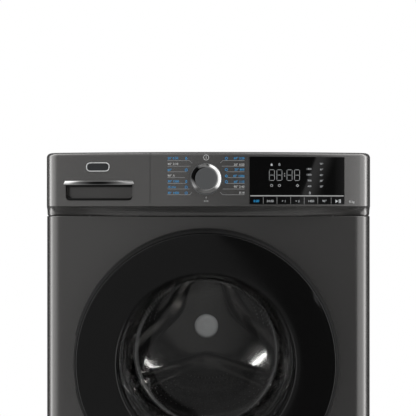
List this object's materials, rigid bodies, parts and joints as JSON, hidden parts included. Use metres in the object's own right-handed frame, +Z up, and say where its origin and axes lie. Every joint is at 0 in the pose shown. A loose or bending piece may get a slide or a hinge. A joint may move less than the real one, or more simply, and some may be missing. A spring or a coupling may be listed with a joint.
{
  "type": "front load washing machine",
  "caption": "Front-loading washing machine in graphite: bowed control panel with drawer, knob and display, round gloss-black door with a glass bowl, perforated drum and belt drive.",
  "frame": {"origin": "centre of the footprint's bounding box at the floor", "axes": "+Z up, -Y out of the front, +X to the right as seen from the front"},
  "size_m": [0.595, 0.565, 0.85],
  "materials": {
    "graphite_paint": "graphite satin enamel",
    "graphite_fascia": "painted graphite ABS",
    "rim_graphite": "graphite plated ABS",
    "black_gloss": "polished black",
    "key_black": "polished black",
    "tinted_glass": "clear, thick",
    "chrome": "bright plated",
    "knob_face_grey": "satin graphite",
    "nameplate_grey": "satin",
    "black_plastic": "moulded",
    "grey_plastic": "moulded",
    "white_plastic": "moulded",
    "tub_plastic": "filled polypropylene",
    "stainless": "stainless, satin",
    "galvanised": "galvanised sheet",
    "cast_aluminium": "as cast",
    "bearing_steel": "ground",
    "gasket_rubber": "grey moulded rubber",
    "black_rubber": "black moulded rubber",
    "concrete": "cast concrete",
    "circuit_board": "solder-masked laminate",
    "top_laminate": "laminated board"
  },
  "bodies": {
    "cabinet": {"cabinet_wrap": "graphite_paint", "rear_cover": "galvanised", "front_panel": "graphite_paint", "top_plate": "top_laminate", "base_tray": "black_plastic", "control_panel": "graphite_fascia", "display_window": "black_gloss", "control_board": "circuit_board", "dispenser_housing": "white_plastic", "hinge_bracket": "cast_aluminium", "door_lock": "black_plastic", "tub_front": "tub_plastic", "tub_rear": "tub_plastic", "bearing_front": "bearing_steel", "bearing_rear": "bearing_steel", "door_gasket": "gasket_rubber", "counterweight": "concrete", "motor": "galvanised", "drive_belt": "black_rubber", "drain_pump": "white_plastic", "spring_left": "galvanised", "spring_right": "galvanised", "damper_left": "galvanised", "damper_right": "galvanised", "heater": "bearing_steel", "inlet_valve": "white_plastic", "cable_gland": "black_plastic"},
    "door": {"door_rim": "rim_graphite", "door_face": "black_gloss", "door_glass": "tinted_glass", "door_inner_ring": "grey_plastic", "door_hinge_arm": "cast_aluminium", "door_latch_hook": "galvanised"},
    "drawer": {"drawer_front": "graphite_fascia", "drawer_handle": "chrome", "drawer_tray": "grey_plastic", "nameplate": "nameplate_grey"},
    "knob": {"knob_ring": "chrome", "knob_face": "knob_face_grey"},
    "key_cap_1": {"key_1": "key_black"},
    "key_cap_2": {"key_2": "key_black"},
    "key_cap_3": {"key_3": "key_black"},
    "key_cap_4": {"key_4": "key_black"},
    "key_cap_5": {"key_5": "key_black"},
    "key_cap_6": {"key_6": "key_black"},
    "key_cap_7": {"key_7": "key_black"},
    "drum": {"drum_shell": "stainless", "drum_lifter_1": "stainless", "drum_lifter_2": "stainless", "drum_lifter_3": "stainless", "drum_hub_cap": "grey_plastic", "drum_spider": "cast_aluminium", "drum_pulley": "cast_aluminium"},
    "motor_rotor": {"motor_pulley": "bearing_steel"},
    "hatch": {"filter_hatch": "graphite_paint"},
    "filter": {"filter_cap": "grey_plastic"},
    "leveller_front_left": {"foot_front_left": "black_rubber"},
    "leveller_front_right": {"foot_front_right": "black_rubber"},
    "leveller_rear_left": {"foot_rear_left": "black_rubber"},
    "leveller_rear_right": {"foot_rear_right": "black_rubber"}
  },
  "joints": [
    {"name": "door_hinge", "type": "hinge", "parent": "cabinet", "child": "door", "pos_m": [-0.2298, -0.2645, 0.476], "axis": [0, 0, -1], "range_deg": [0, 130]},
    {"name": "drawer_slide", "type": "slide", "parent": "cabinet", "child": "drawer", "axis": [0, -1, 0], "range_m": [0, 0.19]},
    {"name": "knob_turn", "type": "hinge", "parent": "cabinet", "child": "knob", "pos_m": [-0.0041, -0.2673, 0.8015], "axis": [0, -1, 0], "continuous": true},
    {"name": "key_1_press", "type": "slide", "parent": "cabinet", "child": "key_cap_1", "axis": [0, 1, 0], "range_m": [0, 0.0008], "stiffness_N_per_m": 1200},
    {"name": "key_2_press", "type": "slide", "parent": "cabinet", "child": "key_cap_2", "axis": [0, 1, 0], "range_m": [0, 0.0008], "stiffness_N_per_m": 1200},
    {"name": "key_3_press", "type": "slide", "parent": "cabinet", "child": "key_cap_3", "axis": [0, 1, 0], "range_m": [0, 0.0008], "stiffness_N_per_m": 1200},
    {"name": "key_4_press", "type": "slide", "parent": "cabinet", "child": "key_cap_4", "axis": [0, 1, 0], "range_m": [0, 0.0008], "stiffness_N_per_m": 1200},
    {"name": "key_5_press", "type": "slide", "parent": "cabinet", "child": "key_cap_5", "axis": [0, 1, 0], "range_m": [0, 0.0008], "stiffness_N_per_m": 1200},
    {"name": "key_6_press", "type": "slide", "parent": "cabinet", "child": "key_cap_6", "axis": [0, 1, 0], "range_m": [0, 0.0008], "stiffness_N_per_m": 1200},
    {"name": "key_7_press", "type": "slide", "parent": "cabinet", "child": "key_cap_7", "axis": [0, 1, 0], "range_m": [0, 0.0008], "stiffness_N_per_m": 1200},
    {"name": "drum_spin", "type": "hinge", "parent": "cabinet", "child": "drum", "pos_m": [-0.0045, 0.1475, 0.476], "axis": [0, -1, 0], "continuous": true},
    {"name": "motor_spin", "type": "hinge", "parent": "cabinet", "child": "motor_rotor", "pos_m": [-0.0045, 0.2215, 0.142], "axis": [0, -1, 0], "continuous": true},
    {"name": "hatch_hinge", "type": "hinge", "parent": "cabinet", "child": "hatch", "pos_m": [0.1875, -0.2445, 0.08], "axis": [1, 0, 0], "range_deg": [0, 90]},
    {"name": "filter_turn", "type": "hinge", "parent": "cabinet", "child": "filter", "pos_m": [0.1875, -0.2205, 0.13], "axis": [0, -1, 0], "range_deg": [0, 180]},
    {"name": "leveller_front_left_turn", "type": "hinge", "parent": "cabinet", "child": "leveller_front_left", "pos_m": [-0.2475, -0.1945, 0], "axis": [0, 0, 1], "continuous": true},
    {"name": "leveller_front_right_turn", "type": "hinge", "parent": "cabinet", "child": "leveller_front_right", "pos_m": [0.2475, -0.1945, 0], "axis": [0, 0, 1], "continuous": true},
    {"name": "leveller_rear_left_turn", "type": "hinge", "parent": "cabinet", "child": "leveller_rear_left", "pos_m": [-0.2475, 0.2085, 0], "axis": [0, 0, 1], "continuous": true},
    {"name": "leveller_rear_right_turn", "type": "hinge", "parent": "cabinet", "child": "leveller_rear_right", "pos_m": [0.2475, 0.2085, 0], "axis": [0, 0, 1], "continuous": true}
  ],
  "couplings": [
    {"joint": "motor_spin", "follows": "drum_spin", "ratio": 12.857}
  ]
}
